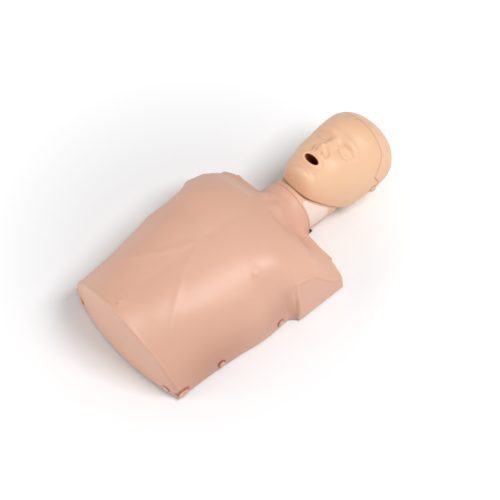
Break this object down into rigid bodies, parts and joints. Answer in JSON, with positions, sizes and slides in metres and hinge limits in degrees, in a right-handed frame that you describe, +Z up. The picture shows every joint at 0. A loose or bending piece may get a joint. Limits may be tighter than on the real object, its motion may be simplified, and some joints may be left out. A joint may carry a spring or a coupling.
{
  "type": "CPR training manikin",
  "caption": "Life-size CPR training torso with sprung chest, tilting head, open airway and clipped-on vinyl skin.",
  "frame": {"origin": "on the floor under the compression axis of the chest", "axes": "+Y from waist to crown, +X to the manikin's left, +Z up out of the chest; metres"},
  "size_m": [0.3574, 0.686, 0.1983],
  "materials": {
    "skin_vinyl": "satin",
    "head_vinyl": "satin",
    "peg_plastic": "satin",
    "base_plastic": "satin",
    "support_plastic": "satin",
    "plate_plastic": "satin",
    "label_film": "satin",
    "lung_film": "satin",
    "airway_plastic": "satin",
    "spring_steel": "satin",
    "screw_steel": "satin",
    "foot_rubber": "matte"
  },
  "bodies": {
    "torso": {"base_shell": "base_plastic", "rubber_feet": "foot_rubber", "torso_skin": "skin_vinyl", "side_pegs": "peg_plastic", "waist_pegs": "peg_plastic", "corner_tabs": "peg_plastic", "shoulder_clips": "peg_plastic", "spring_cup": "support_plastic", "compression_spring": "spring_steel", "guide_post": "support_plastic", "travel_pin": "screw_steel", "cup_screws": "screw_steel", "click_dome": "spring_steel", "neck_shell": "head_vinyl", "neck_label": "label_film", "neck_screws": "screw_steel", "pivot_bolts": "screw_steel", "friction_washers": "foot_rubber", "airway_hose": "airway_plastic"},
    "chest": {"rib_plate": "plate_plastic", "piston": "plate_plastic", "plate_screws": "screw_steel", "striker": "foot_rubber", "lung_bag": "lung_film"},
    "head": {"face_mask": "head_vinyl", "skull_shell": "head_vinyl", "face_support": "support_plastic", "mouth_pipe": "airway_plastic", "ear_pegs": "peg_plastic"}
  },
  "joints": [
    {"name": "chest_press", "type": "slide", "parent": "torso", "child": "chest", "axis": [0, 0, -1], "range_m": [0, 0.055], "stiffness_N_per_m": 9000, "deforming": ["compression_spring"]},
    {"name": "head_tilt", "type": "hinge", "parent": "torso", "child": "head", "pos_m": [0, 0.285, 0.064], "axis": [-1, 0, 0], "range_deg": [0, 25]}
  ]
}
